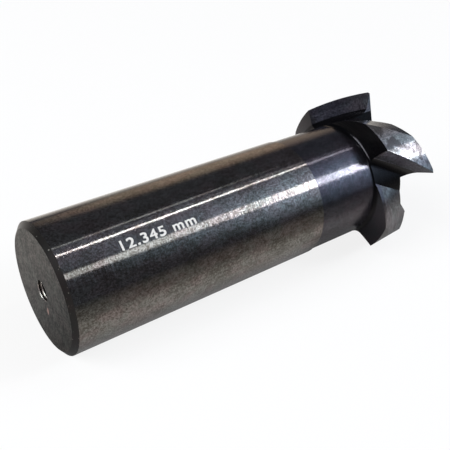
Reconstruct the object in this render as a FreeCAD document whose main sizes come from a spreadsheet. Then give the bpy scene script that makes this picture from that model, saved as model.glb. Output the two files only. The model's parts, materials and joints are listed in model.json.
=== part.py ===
"""An end mill with a cylindrical shank and a short head of four helical teeth.

The cutter is one piece of carbide: a plain shank, a slightly thinner coated neck, and a head
wider than both, with a straight coolant duct from end to end. It is modelled upright, with the
shank's end at Z = 0 and the head on top, and then laid down as it comes to rest on a bench:
on the rim of its shank and on two teeth.

All lengths are in millimetres and all angles in degrees.
"""
import FreeCAD, Part
import math
import os
import Sketcher

NODE = "endmill"

# The driving sizes, each in a cell of its own
SIZES = {
    "shank_diameter": 32.0,
    "shank_length": 70.5,
    "shank_chamfer_width": 1.39,
    "shank_chamfer_length": 1.02,
    "neck_diameter": 31.4,
    "neck_length": 19.7,
    "neck_fillet": 1.0,
    "head_diameter": 43.516,
    "head_length": 17.0,
    "head_rear_angle": 17.0,
    "head_corner_chamfer": 0.4,
    "duct_diameter": 5.2,
    "tooth_count": 4,
    "helix_angle": 35.0,
    "rake_lean": 12.0,
    "gullet_floor_rise": 0.15,
    "gullet_root_radius": 2.4,
    "gullet_floor_end": 28.0,
    "gullet_back_radius": 23.0,
    "land_angle": 20.0,
    "land_relief_angle": 5.6,
    "margin_width": 0.3,
    "end_relief_angle": 17.0,
    "end_relief_reach": 14.0,
    "gash_depth": 7.2,
    "gash_width": 2.8,
    "gash_flare": 18.4,
    "gash_slope": 38.0,
    "cut_clearance": 2.0,
}

document = FreeCAD.newDocument("EndMill")
sheet = document.addObject("Spreadsheet::Sheet", "Sizes")
for row, (name, size) in enumerate(SIZES.items(), start=1):
    sheet.set(f"A{row}", name)
    sheet.set(f"B{row}", str(size))
    sheet.setAlias(f"B{row}", name)
document.recompute()

# Sizes worked out from the driving ones, as expressions that follow the sheet
SHANK_RADIUS = "Sizes.shank_diameter / 2"
NECK_RADIUS = "Sizes.neck_diameter / 2"
HEAD_RADIUS = "Sizes.head_diameter / 2"
DUCT_RADIUS = "Sizes.duct_diameter / 2"
HEAD_START = "(Sizes.shank_length + Sizes.neck_length)"
TOTAL_LENGTH = "(Sizes.shank_length + Sizes.neck_length + Sizes.head_length)"
HEAD_OVERHANG = "((Sizes.head_diameter - Sizes.neck_diameter) / 2)"
CUT_RADIUS = "(Sizes.head_diameter / 2 + Sizes.cut_clearance)"
HELIX_LEAD = "(pi * Sizes.head_diameter / tan(Sizes.helix_angle))"
FLOOR_RADIUS = "(Sizes.neck_diameter / 2 + Sizes.gullet_floor_rise)"
CUT_START = "(Sizes.shank_length + Sizes.neck_length - Sizes.cut_clearance)"
CUT_LENGTH = "(Sizes.head_length + 2 * Sizes.cut_clearance)"
TOOTH_PITCH = "(360 / Sizes.tooth_count)"
LAND_FALL = "(Sizes.head_diameter / 2 * tan(Sizes.land_relief_angle) * pi / 180)"
MARGIN_ANGLE = "(Sizes.margin_width * 360 / (pi * Sizes.head_diameter))"

# How far the land's relief starts ahead of the edge and runs on past the heel, in degrees
RELIEF_LEAD_IN = 6.0
RELIEF_OVERRUN = 10.0

# How finely the resting attitude is worked out
POINTS_PER_EDGE = 40
ROLL_STEPS = 90
ROLL_REFINEMENTS = 40


def value(expression):
    """The number that an expression of the sheet's sizes comes to."""
    return float(sheet.evalExpression(expression))


def polar(radius, angle):
    """The X and Y expressions of a point given by radius and angle."""
    return f"({radius}) * cos({angle})", f"({radius}) * sin({angle})"


class Outline:
    """A closed outline in a sketch, whose corners and radii are bound to the sheet."""

    def __init__(self, sketch, corners):
        self.sketch = sketch
        self.corners = corners
        self.places = [FreeCAD.Vector(value(x), value(y), 0) for x, y in corners]

    def constrain(self, kind, *references):
        """Add a constraint; a last reference given as text is the expression of its size."""
        if isinstance(references[-1], str):
            number = self.sketch.addConstraint(
                Sketcher.Constraint(kind, *references[:-1], value(references[-1])))
            self.sketch.setExpression(f"Constraints[{number}]", references[-1])
        else:
            self.sketch.addConstraint(Sketcher.Constraint(kind, *references))

    def end_at(self, edge, place):
        """The number of the edge's end (1 start, 2 finish) that lies at a place."""
        distances = [self.sketch.getPoint(edge, end).distanceToPoint(place) for end in (1, 2)]
        return 1 + distances.index(min(distances))

    def draw(self, radii=None):
        """Draw an edge from each corner to the next.

        radii gives, by edge number, the radius of an arc: the arc bulges to the right of the
        way along the outline for a positive bulge and to the left for a negative one, and
        "axis" makes an arc about the tool's axis.
        """
        radii = radii or {}
        count = len(self.places)
        for edge in range(count):
            start = self.places[edge]
            finish = self.places[(edge + 1) % count]
            if edge not in radii:
                self.sketch.addGeometry(Part.LineSegment(start, finish))
                continue
            radius, side = radii[edge]
            self.sketch.addGeometry(arc_between(start, finish, value(radius), side))
        for edge in range(count):
            following = (edge + 1) % count
            corner = self.places[following]
            self.constrain("Coincident", edge, self.end_at(edge, corner),
                           following, self.end_at(following, corner))
        for edge, (x_size, y_size) in enumerate(self.corners):
            end = self.end_at(edge, self.places[edge])
            self.place_coordinate("DistanceX", edge, end, x_size, -2)
            if edge not in radii or radii[edge][1] != "axis":
                self.place_coordinate("DistanceY", edge, end, y_size, -1)
        for edge, (radius, side) in radii.items():
            if side == "axis":
                self.constrain("Coincident", edge, 3, -1, 1)
            else:
                self.constrain("Radius", edge, radius)

    def place_coordinate(self, kind, edge, end, size, axis):
        """Hold one coordinate of a corner: on the axis where it is 0, else at its size."""
        if size == "0":
            self.constrain("PointOnObject", edge, end, axis)
        else:
            self.constrain(kind, edge, end, size)


def arc_between(start, finish, radius, side):
    """An arc from start to finish; side 1 bulges right, -1 bulges left, "axis" is about 0, 0."""
    middle = (start + finish) * 0.5
    if side == "axis":
        through = middle.normalize() * radius
        return Part.Arc(start, through, finish)
    chord = finish - start
    right = FreeCAD.Vector(chord.y, -chord.x, 0).normalize()
    rise = radius - math.sqrt(radius ** 2 - chord.Length ** 2 / 4)
    return Part.Arc(start, middle + right * (rise * side), finish)


body = document.addObject("PartDesign::Body", NODE)
body.Label = NODE
origin_parts = {feature.Role: feature for feature in body.Origin.OriginFeatures}


def sketch_on(plane, name):
    """A new sketch on one of the body's origin planes."""
    sketch = body.newObject("Sketcher::SketchObject", name)
    sketch.AttachmentSupport = (origin_parts[plane], [""])
    sketch.MapMode = "FlatFace"
    return sketch


def add_blank():
    """The turned blank: shank, neck and head, revolved about the tool's axis."""
    profile = sketch_on("XZ_Plane", "blank_profile")
    rear_face_rise = f"({HEAD_OVERHANG} * tan(Sizes.head_rear_angle))"
    Outline(profile, [
        ("0", "0"),
        (f"{SHANK_RADIUS} - Sizes.shank_chamfer_width", "0"),
        (SHANK_RADIUS, "Sizes.shank_chamfer_length"),
        (SHANK_RADIUS, "Sizes.shank_length"),
        (NECK_RADIUS, "Sizes.shank_length"),
        (NECK_RADIUS, HEAD_START),
        (HEAD_RADIUS, f"{HEAD_START} + {rear_face_rise}"),
        (HEAD_RADIUS, f"{TOTAL_LENGTH} - Sizes.head_corner_chamfer"),
        (f"{HEAD_RADIUS} - Sizes.head_corner_chamfer", TOTAL_LENGTH),
        ("0", TOTAL_LENGTH),
    ]).draw()
    blank = body.newObject("PartDesign::Revolution", "blank")
    blank.Profile = profile
    blank.ReferenceAxis = (origin_parts["Z_Axis"], [""])
    blank.Angle = 360
    return blank


def add_neck_fillet(blank):
    """The small fillet where the neck meets the head's rear face."""
    document.recompute()
    corner = FreeCAD.Vector(value(NECK_RADIUS), 0, value(HEAD_START))
    distances = {f"Edge{number}": edge.distToShape(Part.Vertex(corner))[0]
                 for number, edge in enumerate(blank.Shape.Edges, start=1)
                 if abs(edge.BoundBox.ZLength) < 1e-6}
    fillet = body.newObject("PartDesign::Fillet", "neck_fillet")
    fillet.Base = (blank, [min(distances, key=distances.get)])
    fillet.setExpression("Radius", "Sizes.neck_fillet")
    return fillet


def add_duct():
    """The straight coolant duct, through from the shank's end to the head's front."""
    circle = sketch_on("XY_Plane", "duct_circle")
    circle.addGeometry(Part.Circle(FreeCAD.Vector(0, 0, 0), FreeCAD.Vector(0, 0, 1),
                                   value(DUCT_RADIUS)))
    circle.addConstraint(Sketcher.Constraint("Coincident", 0, 3, -1, 1))
    number = circle.addConstraint(Sketcher.Constraint("Radius", 0, value(DUCT_RADIUS)))
    circle.setExpression(f"Constraints[{number}]", DUCT_RADIUS)
    duct = body.newObject("PartDesign::Pocket", "duct")
    duct.Profile = circle
    duct.Type = "ThroughAll"
    duct.Reversed = True
    return duct


def helix_section(name):
    """A sketch across the head's rear, turned back to where the teeth's helix passes there."""
    sketch = sketch_on("XY_Plane", name)
    # a first turn about Z gives the angle that the expression drives its axis
    sketch.AttachmentOffset = FreeCAD.Placement(
        FreeCAD.Vector(0, 0, 0), FreeCAD.Rotation(FreeCAD.Vector(0, 0, 1), -1))
    sketch.setExpression("AttachmentOffset.Base.z", CUT_START)
    sketch.setExpression("AttachmentOffset.Rotation.Angle",
                         f"({CUT_START} - {TOTAL_LENGTH}) * 360 / {HELIX_LEAD}")
    return sketch


def add_helical_cut(section, name):
    """Sweep a section along the teeth's helix and cut it out of the head."""
    cut = body.newObject("PartDesign::SubtractiveHelix", name)
    cut.Profile = section
    cut.ReferenceAxis = (origin_parts["Z_Axis"], [""])
    cut.Mode = "pitch-height-angle"
    cut.setExpression("Pitch", HELIX_LEAD)
    cut.setExpression("Height", CUT_LENGTH)
    return cut


def add_gullet():
    """The gullet ahead of the first tooth.

    Its section starts at the cutting edge, which lies on the X axis at the head's front. The
    rake face leans ahead towards the root, a fillet leads into the floor, which runs about the
    tool's axis just above the neck, and the convex back of the next tooth rises from there.
    """
    section = helix_section("gullet_section")
    lean = "Sizes.rake_lean"
    root = "Sizes.gullet_root_radius"
    # the root fillet's centre stands off the rake face and the floor by its radius
    off_rake = f"({HEAD_RADIUS} * sin({lean}) + {root})"
    along_rake = f"sqrt(({FLOOR_RADIUS} + {root})^2 - {off_rake}^2)"
    centre_x = f"({off_rake} * sin({lean}) + {along_rake} * cos({lean}))"
    centre_y = f"({off_rake} * cos({lean}) - {along_rake} * sin({lean}))"
    floor_share = f"{FLOOR_RADIUS} / ({FLOOR_RADIUS} + {root})"
    back_angle = f"({TOOTH_PITCH} - Sizes.land_angle)"
    Outline(section, [
        (HEAD_RADIUS, "0"),
        (f"{centre_x} - {root} * sin({lean})", f"{centre_y} - {root} * cos({lean})"),
        (f"{centre_x} * {floor_share}", f"{centre_y} * {floor_share}"),
        polar(FLOOR_RADIUS, "Sizes.gullet_floor_end"),
        polar(HEAD_RADIUS, back_angle),
        polar(CUT_RADIUS, back_angle),
        (CUT_RADIUS, "0"),
    ]).draw({
        1: (root, -1),
        2: (FLOOR_RADIUS, "axis"),
        3: ("Sizes.gullet_back_radius", 1),
        5: (CUT_RADIUS, "axis"),
    })
    return add_helical_cut(section, "gullet")


def add_land_relief():
    """The relief behind the first tooth's edge, which leaves a narrow full-width margin."""
    section = helix_section("land_relief_section")
    overrun = f"(Sizes.land_angle + {RELIEF_OVERRUN})"
    high = polar(f"{HEAD_RADIUS} + {LAND_FALL} * ({RELIEF_LEAD_IN} + {MARGIN_ANGLE})",
                 str(RELIEF_LEAD_IN))
    low = polar(f"{HEAD_RADIUS} - {LAND_FALL} * ({overrun} - {MARGIN_ANGLE})", f"(0 - {overrun})")
    Outline(section, [
        high,
        low,
        polar(CUT_RADIUS, f"(0 - {overrun})"),
        polar(CUT_RADIUS, str(RELIEF_LEAD_IN)),
    ]).draw({
        0: (HEAD_RADIUS, -1),
        2: (CUT_RADIUS, "axis"),
    })
    return add_helical_cut(section, "land_relief")


def add_end_relief():
    """The slope behind the first tooth's end edge, cut out from the axis along that edge."""
    section = sketch_on("YZ_Plane", "end_relief_section")
    fall = "tan(Sizes.end_relief_angle)"
    ahead = "Sizes.cut_clearance"
    reach = "Sizes.end_relief_reach"
    top = f"{TOTAL_LENGTH} + Sizes.cut_clearance"
    Outline(section, [
        (ahead, f"{TOTAL_LENGTH} + {ahead} * {fall}"),
        (f"0 - {reach}", f"{TOTAL_LENGTH} - {reach} * {fall}"),
        (f"0 - {reach}", top),
        (ahead, top),
    ]).draw()
    relief = body.newObject("PartDesign::Pocket", "end_relief")
    relief.Profile = section
    relief.Type = "Length"
    relief.Reversed = True
    relief.setExpression("Length", CUT_RADIUS)
    return relief


def gash_section(name, width):
    """The gash across the end edge: a wall at the edge, a flat floor and a slope beyond it."""
    section = sketch_on("YZ_Plane", name)
    floor = f"{TOTAL_LENGTH} - Sizes.gash_depth"
    top = f"{TOTAL_LENGTH} + Sizes.cut_clearance"
    rise = "(Sizes.gash_depth + Sizes.cut_clearance)"
    Outline(section, [
        ("0", floor),
        (width, floor),
        (f"{width} + {rise} / tan(Sizes.gash_slope)", top),
        ("0", top),
    ]).draw()
    return section


def add_gash():
    """The gash ahead of the first tooth's end edge, down to the core's front face.

    Its wall follows the end edge, and its floor widens from the axis outwards.
    """
    outer_width = f"Sizes.gash_width + {CUT_RADIUS} * tan(Sizes.gash_flare)"
    inner = gash_section("gash_inner_section", "Sizes.gash_width")
    outer = gash_section("gash_outer_section", outer_width)
    outer.setExpression("AttachmentOffset.Base.z", CUT_RADIUS)
    gash = body.newObject("PartDesign::SubtractiveLoft", "gash")
    gash.Profile = inner
    gash.Sections = [outer]
    gash.Ruled = True
    return gash


def add_teeth(cuts):
    """Repeat the first tooth's cuts round the axis."""
    teeth = body.newObject("PartDesign::PolarPattern", "teeth")
    teeth.Originals = cuts
    teeth.Axis = (origin_parts["Z_Axis"], [""])
    teeth.Angle = 360
    teeth.setExpression("Occurrences", "Sizes.tooth_count")
    body.Tip = teeth
    return teeth


add_neck_fillet(add_blank())
add_duct()
steps = [add_gullet(), add_land_relief(), add_end_relief(), add_gash()]
add_teeth(steps)
document.recompute()


def head_points(shape):
    """Points along the edges of the head, the only ones that can touch the bench there."""
    floor = value(HEAD_START) + value("Sizes.neck_fillet")
    return [point for edge in shape.Edges for point in edge.discretize(POINTS_PER_EDGE)
            if point.z > floor]


def axis_slope(roll, points, rim):
    """How steeply the axis rises to the head when the side at angle roll faces down.

    The rim of the shank's chamfer and the head's lowest point both touch the bench.
    """
    side = FreeCAD.Vector(math.cos(roll), math.sin(roll), 0)
    return max((point.dot(side) - rim.x) / (point.z - rim.z) for point in points)


def resting_roll(points, rim):
    """The roll at which the axis slopes least, so that the cutter stands on two teeth there."""
    pitch = 2 * math.pi / value("Sizes.tooth_count")
    rolls = [pitch * step / ROLL_STEPS for step in range(ROLL_STEPS)]
    middle = min(rolls, key=lambda roll: axis_slope(roll, points, rim))
    low = middle - pitch / ROLL_STEPS
    high = middle + pitch / ROLL_STEPS
    for _ in range(ROLL_REFINEMENTS):
        third = (high - low) / 3
        if axis_slope(low + third, points, rim) < axis_slope(high - third, points, rim):
            high -= third
        else:
            low += third
    return (low + high) / 2


def resting_placement(shape):
    """Lay the cutter down, head towards +X, with the origin under the middle of its box."""
    points = head_points(shape)
    rim = FreeCAD.Vector(value(SHANK_RADIUS), 0, value("Sizes.shank_chamfer_length"))
    roll = resting_roll(points, rim)
    down = FreeCAD.Vector(math.cos(roll), math.sin(roll), -axis_slope(roll, points, rim))
    up = (down * -1).normalize()
    tool_axis = FreeCAD.Vector(0, 0, 1)
    along = (tool_axis - up * tool_axis.dot(up)).normalize()
    upright_to_bench = FreeCAD.Rotation(along, up.cross(along), up).inverted()
    laid = shape.copy()
    laid.Placement = FreeCAD.Placement(FreeCAD.Vector(0, 0, 0), upright_to_bench)
    box = laid.optimalBoundingBox(False)
    return FreeCAD.Placement(FreeCAD.Vector(-box.Center.x, -box.Center.y, -box.ZMin),
                             upright_to_bench)


def check_model():
    """Stop where a feature has failed or the cutter is not one sound solid."""
    for feature in document.Objects:
        if {"Invalid", "Error"} & set(feature.State):
            raise RuntimeError(f"{feature.Name} failed")
    if body.Shape.isNull() or not body.Shape.isValid() or len(body.Shape.Solids) != 1:
        raise RuntimeError(f"{body.Label} is not one sound solid")


check_model()
body.Placement = resting_placement(body.Shape)
document.recompute()
check_model()
os.makedirs("parts", exist_ok=True)
body.Shape.exportStep(f"parts/{body.Label}.step")
box = body.Shape.optimalBoundingBox(False)
tool_axis = body.Placement.Rotation.multVec(FreeCAD.Vector(0, 0, 1))
print(f"{body.Label}: {body.Shape.Volume:.0f} mm3,",
      f"box {box.XLength:.2f} x {box.YLength:.2f} x {box.ZLength:.2f} mm,",
      f"axis rises {math.degrees(math.asin(tool_axis.z)):.2f} degrees to the head")
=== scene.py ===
# %% [markdown]
# # A solid carbide end mill on a pale bench
#
# An end mill is ground from one rod of carbide. This one has a plain shank for the tool holder,
# a neck and a short head that wear a thin dark coating, and four helical teeth. It lies on its
# side, as it comes to rest when it is put down.
#
# The solid itself comes from the CAD model. This lesson gives it its finish, its surroundings
# and its light. Almost everything that the eye sees on polished metal is a reflection, so half
# of the work is in the floor and the lamps.

# %% Load the frame
import json
import math
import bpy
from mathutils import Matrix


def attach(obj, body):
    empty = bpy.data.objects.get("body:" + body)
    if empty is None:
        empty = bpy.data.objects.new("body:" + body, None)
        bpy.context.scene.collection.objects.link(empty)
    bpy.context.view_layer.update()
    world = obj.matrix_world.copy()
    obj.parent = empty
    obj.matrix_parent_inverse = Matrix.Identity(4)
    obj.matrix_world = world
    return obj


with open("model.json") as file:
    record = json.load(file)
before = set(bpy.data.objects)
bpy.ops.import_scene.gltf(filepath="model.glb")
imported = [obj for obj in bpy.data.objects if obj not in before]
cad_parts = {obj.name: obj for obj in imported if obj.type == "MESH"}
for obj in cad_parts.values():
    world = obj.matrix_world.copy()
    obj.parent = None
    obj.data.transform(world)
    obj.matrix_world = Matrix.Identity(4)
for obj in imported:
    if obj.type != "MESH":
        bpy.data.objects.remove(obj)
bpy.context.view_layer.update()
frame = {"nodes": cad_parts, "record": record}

from types import SimpleNamespace

import bpy
from mathutils import Matrix, Vector

MM = 0.001
WHITE = (1, 1, 1, 1)
cutter = frame["nodes"]["endmill"]

# %% [markdown]
# ## Where the tool's axis lies
#
# The cutter rests on the rim of its shank and on two teeth, so its axis rises a little towards
# the head. Every mark that grinding left runs round that axis or along it. The packed record
# knows the shank as a mounting pin, with a point on the axis and the axis's direction, and the
# shank's end as a flat face. Those two give the tool's own frame: X along the axis from the
# shank's end, with Y and Z across it.

# %% The tool's own frame
mounts = {mount["name"]: mount for mount in frame["record"]["mounts"]}
tool_axis = -Vector(mounts["shank"]["axis"]).normalized()
on_axis = Vector(mounts["shank"]["pos_m"])
end_offset = (Vector(mounts["shank_end"]["pos_m"]) - on_axis).dot(tool_axis)
shank_end = on_axis + tool_axis * end_offset
axis_rise = math.asin(tool_axis.z)
tool_frame = Matrix.Translation(shank_end) @ Matrix.Rotation(-axis_rise, 4, "Y")
SHANK_RADIUS = mounts["shank"]["dims"]["r_mm"] * MM
print(f"shank end at {[round(c / MM, 2) for c in shank_end]} mm,",
      f"axis rises {math.degrees(axis_rise):.2f} degrees")

# %% [markdown]
# ## Formulas in place of node wiring
#
# A finish is a tree of nodes, and most of them are sums and products. It reads better as a
# formula. A `Wire` stands for one output of a node, and its operators add Math nodes, so
# `1 - mask` or `grain * 0.2 + 0.1` can be written as they stand. `Graph.node` adds any other
# node: first its settings, then the values and wires of its sockets.

# %% Formulas that build nodes
class Wire:
    """One output of a node, with arithmetic that adds Math nodes."""

    def __init__(self, graph, socket):
        self.graph = graph
        self.socket = socket

    def other(self, name):
        """Another output of the same node."""
        return Wire(self.graph, self.socket.node.outputs[name])

    def __add__(self, term):
        return self.graph.math("ADD", self, term)

    def __radd__(self, term):
        return self.graph.math("ADD", term, self)

    def __sub__(self, term):
        return self.graph.math("SUBTRACT", self, term)

    def __rsub__(self, term):
        return self.graph.math("SUBTRACT", term, self)

    def __mul__(self, factor):
        return self.graph.math("MULTIPLY", self, factor)

    def __rmul__(self, factor):
        return self.graph.math("MULTIPLY", factor, self)

    def __truediv__(self, divisor):
        return self.graph.math("DIVIDE", self, divisor)

    def __rtruediv__(self, dividend):
        return self.graph.math("DIVIDE", dividend, self)


class Graph:
    """A node tree under construction."""

    def __init__(self, tree):
        self.tree = tree
        tree.nodes.clear()

    def node(self, kind, settings=None, sockets=None, output=0):
        """Add a node and return the wire of one of its outputs."""
        node = self.tree.nodes.new(kind)
        for name, setting in (settings or {}).items():
            if name == "stops":
                self.set_stops(node.color_ramp, setting)
            else:
                setattr(node, name, setting)
        for name, value in (sockets or {}).items():
            if isinstance(value, Wire):
                self.tree.links.new(value.socket, node.inputs[name])
            else:
                node.inputs[name].default_value = value
        return Wire(self, node.outputs[output]) if len(node.outputs) else node

    @staticmethod
    def set_stops(ramp, stops):
        """Give a colour ramp its stops, as pairs of place and colour."""
        while len(ramp.elements) < len(stops):
            ramp.elements.new(1.0)
        for element, (place, colour) in zip(ramp.elements, stops):
            element.position = place
            element.color = (*colour, 1.0)

    def math(self, operation, *terms):
        """A Math node on wires and numbers."""
        return self.node("ShaderNodeMath", {"operation": operation}, dict(enumerate(terms)))

    def limited(self, value):
        """A value held between 0 and 1."""
        return self.node("ShaderNodeMath", {"operation": "ADD", "use_clamp": True},
                         {0: value, 1: 0.0})

    def ramp(self, value, low, high, to_low=0.0, to_high=1.0):
        """A smooth step from one value to another as the input goes from low to high."""
        return self.node("ShaderNodeMapRange", {"interpolation_type": "SMOOTHSTEP"},
                         {"Value": value, "From Min": low, "From Max": high,
                          "To Min": to_low, "To Max": to_high})

    def blend(self, share, first, second):
        """A colour between two colours."""
        return self.node("ShaderNodeMix", {"data_type": "RGBA"},
                         {0: share, 6: first, 7: second}, output=2)

    def product(self, first, second):
        """Two colours or vectors multiplied part by part."""
        return self.node("ShaderNodeVectorMath", {"operation": "MULTIPLY"},
                         {0: first, 1: second})

    def dot(self, first, second):
        """The dot product of two vectors."""
        return self.node("ShaderNodeVectorMath", {"operation": "DOT_PRODUCT"},
                         {0: first, 1: second}, output="Value")


print("formulas for", ", ".join(name for name in vars(Graph) if not name.startswith("_")))

# %% [markdown]
# ## The floor
#
# The bench is plain and nearly white. Polished metal shows whatever surrounds it, so the floor
# gives off most of its white by itself, for the camera and for reflections alike, and the rest
# is an ordinary matt white that receives the cutter's shadow. In reflections the white is as
# strong as it would be on a bench under one lamp: weaker in the strip that the cutter shades,
# full just beside it, and fading with distance. Below the head, where the teeth keep the light
# off the bench, it is darker still.

# %% Floor
FLOOR_SIZE = 6.0
# How the floor looks in the metal: its colour by the distance in mm to the side of the axis.
FLOOR_PROFILE = [(-260, (0.12, 0.12, 0.12)), (-80, (0.28, 0.26, 0.24)), (-50, (0.38, 0.35, 0.32)),
                 (-36, (0.69, 0.64, 0.59)), (-22, (0.80, 0.76, 0.72)), (-14, (0.43, 0.43, 0.43)),
                 (-8, (0.19, 0.19, 0.19)), (0, (0.30, 0.30, 0.30)), (12, (0.50, 0.50, 0.50)),
                 (35, (0.87, 0.85, 0.82)), (82, (0.92, 0.88, 0.83)), (171, (0.66, 0.62, 0.57)),
                 (300, (0.48, 0.44, 0.40))]
FLOOR_MATT = (0.82, 0.82, 0.82, 1)
# The share of the floor's white that the camera sees as the floor's own light.
FLOOR_OWN_LIGHT = 0.85
# Where the shade below the head fades in and out, in mm: along the bench, and across it on the
# near side and on the far side. Then the share of the white that it takes.
BELOW_HEAD_AHEAD = (16, 32)
BELOW_HEAD_NEAR = (-30, -20)
BELOW_HEAD_FAR = (8, 16)
BELOW_HEAD_LOSS = 0.5


def make_floor():
    """A wide matt sheet at the height the cutter rests on."""
    half = FLOOR_SIZE / 2
    mesh = bpy.data.meshes.new("floor")
    mesh.from_pydata([(-half, -half, 0), (half, -half, 0), (half, half, 0), (-half, half, 0)],
                     [], [(0, 1, 2, 3)])
    floor = bpy.data.objects.new("floor", mesh)
    bpy.context.scene.collection.objects.link(floor)
    material = bpy.data.materials.new("pale_floor")
    material.use_nodes = True
    graph = Graph(material.node_tree)
    matt = graph.node("ShaderNodeBsdfDiffuse", None, {"Color": FLOOR_MATT})
    path = graph.node("ShaderNodeLightPath", output="Is Camera Ray")
    mirrored = path.other("Is Glossy Ray") + path.other("Is Transmission Ray")
    spot = graph.node("ShaderNodeSeparateXYZ", None,
                      {0: graph.node("ShaderNodeTexCoord", output="Object")})
    ahead, aside = spot / MM, spot.other("Y") / MM
    first, last = FLOOR_PROFILE[0][0], FLOOR_PROFILE[-1][0]
    stops = [((place - first) / (last - first), colour) for place, colour in FLOOR_PROFILE]
    profile = graph.node("ShaderNodeValToRGB", {"stops": stops},
                         {"Fac": (aside - first) / (last - first)})
    below_head = (graph.ramp(ahead, *BELOW_HEAD_AHEAD) * graph.ramp(aside, *BELOW_HEAD_NEAR)
                  * graph.ramp(aside, *BELOW_HEAD_FAR, 1.0, 0.0))
    bright = graph.node("ShaderNodeEmission", None, {
        "Color": graph.blend(path, profile, WHITE),
        "Strength": path + mirrored * (1 - below_head * BELOW_HEAD_LOSS)})
    share = graph.limited(path * FLOOR_OWN_LIGHT + mirrored)
    surface = graph.node("ShaderNodeMixShader", None, {0: share, 1: matt, 2: bright})
    graph.node("ShaderNodeOutputMaterial", None, {"Surface": surface})
    mesh.materials.append(material)


make_floor()
print("floor", FLOOR_SIZE, "m wide")

# %% [markdown]
# ## The room and the lamps
#
# The room is dim, which gives the metal its near-black bands. A round bar draws every reflection
# out along its length, so each lamp shows as a streak. The lamps are therefore placed by the
# streak they make: `swing` is how far the lamp has swung up round the tool's axis from the
# horizontal, and `forward` how far it leans towards the head.
#
# The key lamp ahead on the right makes the broad pale streak. It has four parts, because the
# streak is faint towards the shank's end, strong towards the head and wide on the teeth. Two
# narrow tubes draw the thin white line above it, and two weaker ones its echo. A faint wide lamp
# ahead lights the dark coating. The reflections without an edge are soft glows of the room
# itself: a bluish one round the key lamp, a grey one near the tubes and a warm one far behind.
# A large lamp over the shank's end, which the metal doesn't mirror towards the camera, lights
# the floor. The camera sees the room as plain white.

# %% Room and lamps
ROOM_GREY = (0.080, 0.082, 0.098)
# Soft glows in the room: swing, forward, reach in degrees, and how much light they add.
ROOM_GLOWS = [(46, 56, 36, (0.93, 1.20, 1.50)), (46, 52, 20, (1.00, 1.12, 1.45)),
              (77, 23, 27, (0.27, 0.29, 0.37)), (166, 32, 20, (0.58, 0.43, 0.29))]
LAMP_DISTANCE = 1.5
# The place along the axis that every lamp points at.
LAMP_AIM = 45 * MM
# How far each tube is turned about its line to the tool, which slants its streak a little.
TUBE_TILT = 12.0


def toward_room(swing, forward):
    """The direction in the tool's frame that two angles in degrees point to."""
    turn, lean = math.radians(swing), math.radians(forward)
    return Vector((math.sin(lean), -math.cos(lean) * math.cos(turn),
                   math.cos(lean) * math.sin(turn)))


def make_room():
    """The dim room, with broad soft glows that no lamp's edge cuts off."""
    world = bpy.data.worlds.new("dim_room")
    world.use_nodes = True
    graph = Graph(world.node_tree)
    view = graph.node("ShaderNodeTexCoord", output="Generated")
    light = graph.node("ShaderNodeRGB")
    light.socket.default_value = (*ROOM_GREY, 1)
    for swing, forward, reach, colour in ROOM_GLOWS:
        centre = tool_frame.to_3x3() @ toward_room(swing, forward)
        share = graph.ramp(graph.dot(view, centre), math.cos(math.radians(reach)), 1.0)
        light = graph.node("ShaderNodeMix", {"data_type": "RGBA", "blend_type": "ADD"},
                           {0: share, 6: light, 7: (*colour, 1)}, output=2)
    seen = graph.node("ShaderNodeLightPath", output="Is Camera Ray")
    background = graph.node("ShaderNodeBackground", None,
                            {"Color": graph.blend(seen, light, WHITE), "Strength": 1.0})
    graph.node("ShaderNodeOutputWorld", None, {"Surface": background})
    bpy.context.scene.world = world


def make_lamp(name, swing, forward, width, length, radiance, tilt=0.0):
    """A rectangular lamp, with its angles and its apparent size in degrees."""
    lean = math.radians(forward)
    toward = toward_room(swing, forward)
    ahead = toward_room(swing, forward + 90)
    across = ahead.cross(toward)
    light = bpy.data.lights.new(name, "AREA")
    light.shape = "RECTANGLE"
    light.size = 2 * LAMP_DISTANCE * math.cos(lean) * math.tan(math.radians(width) / 2)
    light.size_y = 2 * LAMP_DISTANCE * math.tan(math.radians(length) / 2)
    light.energy = radiance * math.pi * light.size * light.size_y
    lamp = bpy.data.objects.new(name, light)
    facing = Matrix((across, ahead, toward)).transposed().to_4x4()
    aim = Vector((LAMP_AIM, 0, 0))
    lamp.matrix_world = (tool_frame @ Matrix.Translation(aim + toward * LAMP_DISTANCE)
                         @ facing @ Matrix.Rotation(math.radians(tilt), 4, "Z"))
    lamp.visible_camera = False
    bpy.context.scene.collection.objects.link(lamp)
    print(f"{name}: {light.energy:.1f} W, {light.size:.2f} x {light.size_y:.2f} m")


make_room()
make_lamp("key_softbox", 47.5, 46.6, 15, 11.4, 25.0)
make_lamp("key_middle", 47.5, 29.5, 13, 8, 2.4)
make_lamp("key_tail", 48, 19.5, 9, 23, 2.0)
make_lamp("key_end", 52, 55, 28, 9, 9.0)
make_lamp("front_glow", 95, 57, 60, 12, 0.9)
make_lamp("tube", 84.5, 21.5, 1.3, 17, 23.0, tilt=TUBE_TILT)
make_lamp("tube_far", 88.5, 38, 1.3, 16, 12.0, tilt=TUBE_TILT)
make_lamp("tube_echo", 99.0, 21.5, 1.5, 19, 1.9, tilt=TUBE_TILT)
make_lamp("echo_far", 94.5, 38, 1.5, 14, 1.0, tilt=TUBE_TILT)
make_lamp("floor_lamp", 90, -50, 50, 30, 11.0)

# %% [markdown]
# ## The camera
#
# The photograph looks down on the shank's end from close by. The camera's place and lens were
# worked out from the cutter's outline in the photograph.

# %% Camera
CAMERA_PLACE = Vector((-97.108, -113.701, 113.122)) * MM
CAMERA_RIGHT = Vector((0.8000268, -0.59468053, 0.07945227))
CAMERA_UP = Vector((0.27376531, 0.47967679, 0.83364453))
CAMERA_LENS = 53.977


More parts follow.
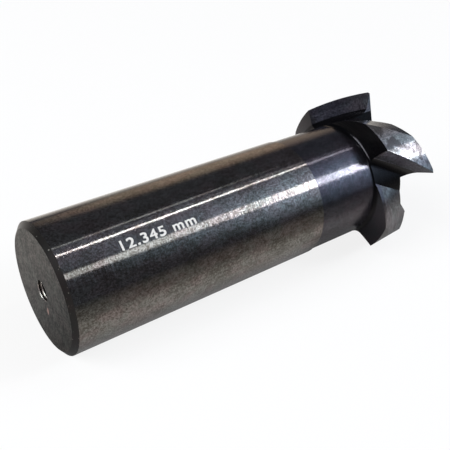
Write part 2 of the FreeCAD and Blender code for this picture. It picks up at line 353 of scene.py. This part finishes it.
def make_camera():
    """A camera from its place and its right and up directions."""
    back = CAMERA_RIGHT.cross(CAMERA_UP)
    camera = bpy.data.objects.new("camera", bpy.data.cameras.new("camera"))
    camera.data.lens = CAMERA_LENS
    camera.data.sensor_width = 36.0
    camera.data.clip_start = 0.01
    camera.data.clip_end = 20.0
    camera.matrix_world = Matrix.Translation(CAMERA_PLACE) @ Matrix(
        (CAMERA_RIGHT, CAMERA_UP, back)).transposed().to_4x4()
    bpy.context.scene.collection.objects.link(camera)
    bpy.context.scene.camera = camera


make_camera()
bpy.context.scene.view_settings.view_transform = "Standard"
looking_down = math.asin(CAMERA_RIGHT.cross(CAMERA_UP).z)
print("camera looks down", round(math.degrees(looking_down), 1), "degrees")

# %% [markdown]
# ## The finish: ground carbide, bare and coated
#
# The shank is ground all over on a cylindrical grinder, whose wheel leaves very fine lines
# round the axis. From the neck on, a vacuum coating a few thousandths of a millimetre thick
# turns the metal a dark violet-black. Both are one piece of metal, so one material changes
# along the axis from the first to the second.
#
# The zones are told apart by masks, which go from 0 to 1 with the distance along the axis, the
# distance from it or the way that the surface faces: the coating, the ground faces of the teeth
# and their backs, the shaded corner behind the head and the roots between the teeth, and at the
# other end the face, its chamfer and the duct. The backs, the corner and the roots are painted in
# shade, and the rake and the low flanks of the teeth are painted in light.

# %% Measures and zones of the surface
# Each mask fades between two values of a measure. The lengths are in mm, in the tool's own frame.
# Facing is 1 where the surface looks along the axis and -1 where it looks back, and outward is 1
# where it looks straight away from the axis.
LENGTHS = ("along", "radius", "across", "upward")
FADES = {
    "along": {"end": (1.0, 1.1), "coating": (70.4, 70.6), "dust": (74.0, 84.0),
              "corner": (84.5, 85.5), "backs": (88.0, 89.0), "root": (88.8, 89.6),
              "teeth": (91.6, 92.4), "rake tip": (97.0, 107.0)},
    "radius": {"bore": (2.62, 2.66), "root": (16.2, 16.5), "corner": (17.2, 17.4),
               "margin": (19.6, 20.0)},
    "across": {"shaded back": (3.0, 8.0)},
    "upward": {"low flank": (-4.0, 4.0), "corner": (0.5, 7.0), "shaded back": (2.0, 6.0)},
    "facing": {"end face": (-0.93, -0.90), "backs": (-0.85, -0.75), "chamfer": (-0.45, -0.35),
               "corner": (-0.25, -0.05), "root": (0.10, 0.16)},
    "outward": {"rake": (0.45, 0.60), "lands": (0.90, 0.95)},
}


def measure_surface(graph):
    """Where each point lies in the tool's frame, and the way that its surface faces."""
    at = SimpleNamespace()
    at.place = graph.node("ShaderNodeMapping", {"vector_type": "TEXTURE"},
                          {"Vector": graph.node("ShaderNodeTexCoord", output="Object"),
                           "Location": shank_end, "Rotation": (0.0, -axis_rise, 0.0)})
    at.along = graph.node("ShaderNodeSeparateXYZ", None, {0: at.place})
    at.across, at.upward = at.along.other("Y"), at.along.other("Z")
    at.radius = graph.math("SQRT", at.across * at.across + at.upward * at.upward)
    normal = graph.node("ShaderNodeNewGeometry", output="Normal")
    at.facing = graph.dot(normal, tool_axis)
    from_end = graph.node("ShaderNodeVectorMath", {"operation": "SUBTRACT"},
                          {0: normal.other("Position"), 1: shank_end})
    at.outward = (graph.dot(normal, from_end) - at.facing * at.along) / at.radius
    return at


def tell_zones(graph, at):
    """A mask for each zone of the surface."""

    def past(measure, name, before=0.0, beyond=1.0):
        """0 before a named fade and 1 past it."""
        unit = MM if measure in LENGTHS else 1.0
        low, high = FADES[measure][name]
        return graph.ramp(getattr(at, measure), low * unit, high * unit, before, beyond)

    def short_of(measure, name):
        """1 before a named fade and 0 past it."""
        return past(measure, name, before=1.0, beyond=0.0)

    zone = SimpleNamespace()
    zone.coated = past("along", "coating")
    zone.dusty = past("along", "dust")
    zone.backs = past("along", "backs") * short_of("facing", "backs")
    zone.teeth = past("along", "teeth") * (1 - zone.backs)
    zone.lands = zone.teeth * past("outward", "lands")
    zone.margin = past("radius", "margin")
    # The rake and the low flanks are the parts of the teeth that get painted light.
    zone.rake = zone.teeth * short_of("outward", "rake")
    zone.rake_tip = past("along", "rake tip")
    zone.low_flank = (zone.teeth - zone.rake) * short_of("upward", "low flank")
    # The corner behind the head, the roots between the teeth and the upper backs get painted
    # shade.
    corner = (past("along", "corner") * short_of("facing", "corner")
              * short_of("radius", "corner") * past("upward", "corner"))
    root = past("along", "root") * short_of("facing", "root") * short_of("radius", "root")
    shaded_back = (zone.backs * past("upward", "shaded back")
                   * short_of("across", "shaded back"))
    zone.hollow = graph.limited(corner + root + shaded_back)
    near_end = short_of("along", "end")
    zone.end_face = near_end * short_of("facing", "end face")
    zone.chamfer = near_end * short_of("facing", "chamfer") * (1 - zone.end_face)
    zone.bore = short_of("radius", "bore")
    return zone


print("the zones' masks use", sum(len(fades) for fades in FADES.values()), "fades")

# %% [markdown]
# Clouds of noise add the stains and specks of handling, a slow drift of the hue and painted dark
# gaps that break up the reflections on the lands behind the cutting edges. Noise drawn out along
# the axis adds drag lines, and noise drawn out round it the fine grooves of the grinding wheel.
# The end face has one small coppery smear, and the chamfer has painted glints. Most finishes are
# a pair of colours, and a cloud says how far each point has gone from the first to the second.

# %% Colours of the surface
# The noises: their scales along the axis and across it, their detail and their roughness.
CLOUDS = {
    "stains": ((110.0, 160.0, 160.0), 4.0, 0.6),
    "blotches": ((420.0, 420.0, 420.0), 4.0, 0.65),
    "speckle": ((1700.0, 1700.0, 1700.0), 3.0, 0.6),
    "grit": ((3600.0, 3600.0, 3600.0), 1.0, 0.55),
    "drag": ((25.0, 2600.0, 2600.0), 1.0, 0.55),
    "streaks": ((2600.0, 2600.0, 260.0), 3.0, 0.5),
    "patches": ((210.0, 210.0, 210.0), 3.0, 0.55),
    "hue": ((150.0, 230.0, 230.0), 3.0, 0.6),
    "grooves": ((9000.0, 120.0, 120.0), 2.0, 0.5),
}
# How strongly each cloud sways a finish round its middle.
WEAR = {"stains": 1.3, "blotches": 1.5, "speckle": 2.6, "grit": 2.6}
GRAIN = {"streaks": 2.4, "blotches": 1.0}
MOTTLING = {"blotches": 2.6, "speckle": 3.0, "grit": 2.0}
# The values of a cloud, or of the bore's rings, between which a mark fades in or out.
MARKS = {"drag lines": (0.62, 0.72), "land gaps": (0.43, 0.49), "dust": (0.80, 0.84),
         "nicks": (0.66, 0.72), "rings": (0.2, 0.9), "hue drift": (0.38, 0.62)}
SHADES = {
    "bare": ((0.100, 0.091, 0.083, 1), (0.236, 0.228, 0.222, 1)),
    "coating": ((0.044, 0.043, 0.053, 1), (0.092, 0.089, 0.106, 1)),
    "teeth": ((0.045, 0.045, 0.048, 1), (0.165, 0.165, 0.170, 1)),
    # Painted light along the rake: darker and bluer at the roots, brighter towards the tips.
    "rake painted light": ((0.78, 0.77, 0.98, 1), (1.65, 1.62, 1.75, 1)),
    "end face": ((0.004, 0.004, 0.003, 1), (0.125, 0.118, 0.108, 1)),
    # The chamfer's second colour is its painted glints.
    "chamfer": ((0.035, 0.033, 0.033, 1), (0.45, 0.43, 0.40, 1)),
    # The bore's second colour is the painted highlights on its drilled rings.
    "bore": ((0.10, 0.09, 0.08, 1), (0.85, 0.83, 0.80, 1)),
    "hue drift": ((1.05, 0.975, 0.99, 1), (0.965, 1.015, 1.00, 1)),
}
COLOURS = {
    # The backs keep the coating, painted darker as shade.
    "backs": (0.034, 0.033, 0.038, 1),
    # Painted shade for the corner behind the head, the roots and the upper backs.
    "hollow": (0.010, 0.010, 0.012, 1),
    # Painted dark gaps in the reflections on the lands.
    "land gap": (0.040, 0.038, 0.040, 1),
    # Painted light that makes the low flanks lighter and bluer.
    "low flank painted light": (1.36, 1.42, 1.55, 1),
    "dust": (0.55, 0.55, 0.55, 1),
    "smear": (0.62, 0.42, 0.36, 1),
}
# The smear on the end face, in mm across the axis and upward from it. Its edge fades between two
# shares of the squared reach.
SMEAR_CENTRE = (-2.0, -4.6)
SMEAR_REACH = (0.5, 1.2)
SMEAR_EDGE = (0.3, 1.0)
SMEAR_STRENGTH = 0.8


def make_clouds(graph, at):
    """Every noise of the surface, by its name."""
    return SimpleNamespace(**{
        name: graph.node("ShaderNodeTexNoise", None,
                         {"Vector": graph.product(at.place, scales), "Scale": 1.0,
                          "Detail": detail, "Roughness": rough})
        for name, (scales, detail, rough) in CLOUDS.items()})


def sway(cloud, middle, weights):
    """A share that sways round a middle value with some of the clouds."""
    share = middle
    for name, weight in weights.items():
        share = share + (getattr(cloud, name) - 0.5) * weight
    return share


def paint_rod(graph, zone, cloud):
    """The colour of the bare shank, the coating and the teeth, with painted light and shade."""
    drag_lines = graph.ramp(cloud.drag, *MARKS["drag lines"])
    wear = graph.limited(sway(cloud, 0.45, WEAR) + drag_lines * 0.35)
    grain = graph.limited(sway(cloud, 0.5, GRAIN) + drag_lines * 0.6)
    # Painted dark gaps break up the reflections on the lands.
    land_gaps = zone.lands * graph.ramp(cloud.patches, *MARKS["land gaps"], 1.0, 0.0)
    tooth = graph.blend(land_gaps, graph.blend(grain, *SHADES["teeth"]), COLOURS["land gap"])
    # Painted light: the rake darker and bluer at the roots and brighter at the tips, the low
    # flanks lighter and bluer.
    painted_light = graph.blend(zone.rake, WHITE, graph.blend(zone.rake_tip, *SHADES["rake painted light"]))
    painted_light = graph.blend(zone.low_flank, painted_light, COLOURS["low flank painted light"])
    colour = graph.blend(zone.coated, graph.blend(wear, *SHADES["bare"]),
                         graph.blend(wear, *SHADES["coating"]))
    # The backs keep the coating, painted darker as shade.
    colour = graph.blend(zone.backs, colour, COLOURS["backs"])
    colour = graph.blend(zone.teeth, colour, graph.product(tooth, painted_light))
    dust = graph.ramp(cloud.grit, *MARKS["dust"]) * zone.dusty
    colour = graph.blend(dust, colour, COLOURS["dust"])
    # Painted shade in the corner, the roots and the upper backs.
    return graph.blend(zone.hollow, colour, COLOURS["hollow"])


def paint_end(graph, at, zone, cloud, turning, colour):
    """The same colour, with the mottled end face and painted glints on the chamfer and bore
    rings.
    """
    mottling = graph.limited(sway(cloud, 0.45, MOTTLING))
    smear_across = (at.across / MM - SMEAR_CENTRE[0]) / SMEAR_REACH[0]
    smear_upward = (at.upward / MM - SMEAR_CENTRE[1]) / SMEAR_REACH[1]
    smear = graph.ramp(smear_across * smear_across + smear_upward * smear_upward,
                       *SMEAR_EDGE, 1.0, 0.0)
    end_face = graph.blend(smear * SMEAR_STRENGTH, graph.blend(mottling, *SHADES["end face"]),
                           COLOURS["smear"])
    # Painted glints on the chamfer.
    nicks = graph.ramp(cloud.speckle, *MARKS["nicks"])
    colour = graph.blend(zone.end_face, colour, end_face)
    colour = graph.blend(zone.chamfer, colour, graph.blend(nicks, *SHADES["chamfer"]))
    # Painted highlights on the drilled rings of the bore.
    rings = graph.ramp(turning, *MARKS["rings"])
    return graph.blend(zone.bore, colour, graph.blend(rings, *SHADES["bore"]))


print(len(CLOUDS), "clouds of noise and", len(SHADES), "pairs of colours")

# %% [markdown]
# Roughness and relief finish the metal. The bare shank is the smoothest, the coating is a little
# duller, and the end face, the chamfer and the bore are dull. The grooves of the grinding wheel
# are only a bump: too fine to be shape, but they widen every reflection along the axis.

# %% Carbide
METALLIC = {"bare": 0.97, "coating": 0.88}
# The bare shank's and the coating's roughness, and what the other zones add to it.
ROUGHNESS = {"bare": 0.07, "coating": 0.11, "speckle": 0.04, "streaks": 0.18, "end face": 0.38,
             "chamfer": 0.25, "bore": 0.3, "hollow": 0.03}
# The rings that the drill left in the bore: how far apart they are, and how many times as deep as
# the grinding grooves.
TURNING_PITCH = 0.8 * MM
TURNING_DEPTH = 6.0
BUMP_DISTANCE = 0.02 * MM
BUMP_STRENGTH = {"grooves": 0.8, "speckle": 0.18}


def make_carbide():
    """Bare and coated ground carbide, told apart by the distance along the axis."""
    material = bpy.data.materials.new("ground_carbide")
    material.use_nodes = True
    graph = Graph(material.node_tree)
    at = measure_surface(graph)
    zone = tell_zones(graph, at)
    cloud = make_clouds(graph, at)
    turning = graph.math("SINE", at.along * (2 * math.pi / TURNING_PITCH)) * zone.bore
    colour = paint_end(graph, at, zone, cloud, turning, paint_rod(graph, zone, cloud))
    hue = graph.ramp(cloud.hue, *MARKS["hue drift"])
    colour = graph.product(colour, graph.blend(hue, *SHADES["hue drift"]))
    polish = (graph.ramp(zone.coated, 0.0, 1.0, ROUGHNESS["bare"], ROUGHNESS["coating"])
              + cloud.speckle * ROUGHNESS["speckle"]
              + zone.teeth * cloud.streaks * (1 - zone.margin) * ROUGHNESS["streaks"])
    roughness = graph.limited(polish + zone.end_face * ROUGHNESS["end face"]
                              + zone.chamfer * ROUGHNESS["chamfer"]
                              + zone.bore * ROUGHNESS["bore"]
                              + zone.hollow * ROUGHNESS["hollow"])
    grooved = graph.node("ShaderNodeBump", None,
                         {"Strength": BUMP_STRENGTH["grooves"], "Distance": BUMP_DISTANCE,
                          "Height": cloud.grooves + turning * TURNING_DEPTH})
    grained = graph.node("ShaderNodeBump", None,
                         {"Strength": BUMP_STRENGTH["speckle"], "Distance": BUMP_DISTANCE,
                          "Height": cloud.speckle, "Normal": grooved})
    shader = graph.node("ShaderNodeBsdfPrincipled", None, {
        "Base Color": colour,
        "Metallic": graph.ramp(zone.coated, 0.0, 1.0, METALLIC["bare"], METALLIC["coating"]),
        "Roughness": roughness,
        "Normal": grained,
    })
    graph.node("ShaderNodeOutputMaterial", None, {"Surface": shader})
    return material


carbide = make_carbide()
cutter.data.materials.clear()
cutter.data.materials.append(carbide)
print("one material on", len(cutter.data.polygons), "faces")

# %% [markdown]
# ## The marking
#
# A laser has written a size on the shank, in digits a little over two millimetres high that run
# along the axis. Here they are plain running digits. Geometry Nodes turn a line of text into
# faces, cut them small and roll them round the shank, so every letter follows the curve. The
# text, its height, its place and the shank's radius are inputs of the tree.

# %% Marking
MARK_TEXT = "12.345 mm"
MARK_INPUTS = {
    "Text size": 3.2 * MM,
    "Letter spacing": 1.14,
    "Letter width": 1.23,
    "Boldness": 0.075 * MM,
    "Start along axis": 14.1 * MM,
    "Baseline swing": math.radians(47.6),
    "Roll radius": SHANK_RADIUS + 0.006 * MM,
}


def make_rolling_tree():
    """The Geometry Nodes tree that rolls a text round the shank, and its inputs' identifiers."""
    tree = bpy.data.node_groups.new("rolled_text", "GeometryNodeTree")
    graph = Graph(tree)
    tree.interface.new_socket("Geometry", in_out="OUTPUT", socket_type="NodeSocketGeometry")
    kinds = {**dict.fromkeys(MARK_INPUTS, "NodeSocketFloat"),
             "Text": "NodeSocketString", "Finish": "NodeSocketMaterial"}
    identifiers = {
        name: tree.interface.new_socket(name, in_out="INPUT", socket_type=kind).identifier
        for name, kind in kinds.items()}
    inputs = graph.node("NodeGroupInput")
    letters = graph.node("GeometryNodeStringToCurves",
                         {"align_x": "LEFT", "align_y": "BOTTOM_BASELINE"},
                         {"String": inputs.other("Text"), "Size": inputs.other("Text size"),
                          "Character Spacing": inputs.other("Letter spacing")})
    joined = graph.node("GeometryNodeRealizeInstances", None, {0: letters})
    outlines = graph.node("GeometryNodeResampleCurve", {"mode": "EVALUATED"}, {"Curve": joined})
    outward = graph.node("ShaderNodeVectorMath", {"operation": "CROSS_PRODUCT"},
                         {0: graph.node("GeometryNodeInputTangent"), 1: (0.0, 0.0, 1.0)})
    bold = graph.node("GeometryNodeSetPosition", None, {
        "Geometry": outlines,
        "Offset": graph.node("ShaderNodeVectorMath", {"operation": "SCALE"},
                             {0: outward, "Scale": inputs.other("Boldness")})})
    filled = graph.node("GeometryNodeFillCurve", {"mode": "TRIANGLES"}, {"Curve": bold})
    fine = graph.node("GeometryNodeSubdivideMesh", None, {"Mesh": filled, "Level": 2})
    flat = graph.node("ShaderNodeSeparateXYZ", None, {0: graph.node("GeometryNodeInputPosition")})
    swing = inputs.other("Baseline swing") + flat.other("Y") / inputs.other("Roll radius")
    rolled = graph.node("ShaderNodeCombineXYZ", None, {
        "X": flat * inputs.other("Letter width") + inputs.other("Start along axis"),
        "Y": inputs.other("Roll radius") * graph.math("COSINE", swing) * -1.0,
        "Z": inputs.other("Roll radius") * graph.math("SINE", swing)})
    placed = graph.node("GeometryNodeSetPosition", None, {"Geometry": fine, "Position": rolled})
    laid = graph.node("GeometryNodeTransform", None,
                      {"Geometry": placed, "Translation": shank_end,
                       "Rotation": (0.0, -axis_rise, 0.0)})
    solid = graph.node("GeometryNodeRealizeInstances", None, {0: laid})
    done = graph.node("GeometryNodeSetMaterial", None,
                      {"Geometry": solid, "Material": inputs.other("Finish")})
    graph.node("NodeGroupOutput", None, {0: done})
    return tree, identifiers


def make_marking():
    """The digits, rolled round the shank and kept as a mesh."""
    tree, identifiers = make_rolling_tree()
    carrier = bpy.data.objects.new("marking_source", bpy.data.meshes.new("marking_source"))
    bpy.context.scene.collection.objects.link(carrier)
    modifier = carrier.modifiers.new("rolled_text", "NODES")
    modifier.node_group = tree
    for name, value in {**MARK_INPUTS, "Text": MARK_TEXT, "Finish": make_laser_grey()}.items():
        modifier[identifiers[name]] = value
    bpy.context.view_layer.update()
    evaluated = carrier.evaluated_get(bpy.context.evaluated_depsgraph_get())
    mesh = bpy.data.meshes.new_from_object(evaluated)
    bpy.data.objects.remove(carrier)
    marking = bpy.data.objects.new("size_marking", mesh)
    bpy.context.scene.collection.objects.link(marking)
    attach(marking, "root")
    return marking


def make_laser_grey():
    """The pale, finely pitted metal that a marking laser leaves."""
    material = bpy.data.materials.new("laser_grey")
    material.use_nodes = True
    graph = Graph(material.node_tree)
    pits = graph.node("ShaderNodeTexNoise", None,
                      {"Vector": graph.node("ShaderNodeTexCoord", output="Object"),
                       "Scale": 4000.0, "Detail": 2.0})
    shader = graph.node("ShaderNodeBsdfPrincipled", None, {
        "Base Color": graph.blend(pits, (0.50, 0.49, 0.46, 1), (0.82, 0.80, 0.76, 1)),
        "Metallic": 0.2,
        "Roughness": 0.5 + pits * 0.2,
        "Normal": graph.node("ShaderNodeBump", None, {"Strength": 0.4, "Distance": 0.00003,
                                                      "Height": pits})})
    graph.node("ShaderNodeOutputMaterial", None, {"Surface": shader})
    return material


marking = make_marking()
print(f"marking: {len(marking.data.polygons)} faces,",
      [round(size / MM, 2) for size in marking.dimensions], "mm")

# %% [markdown]
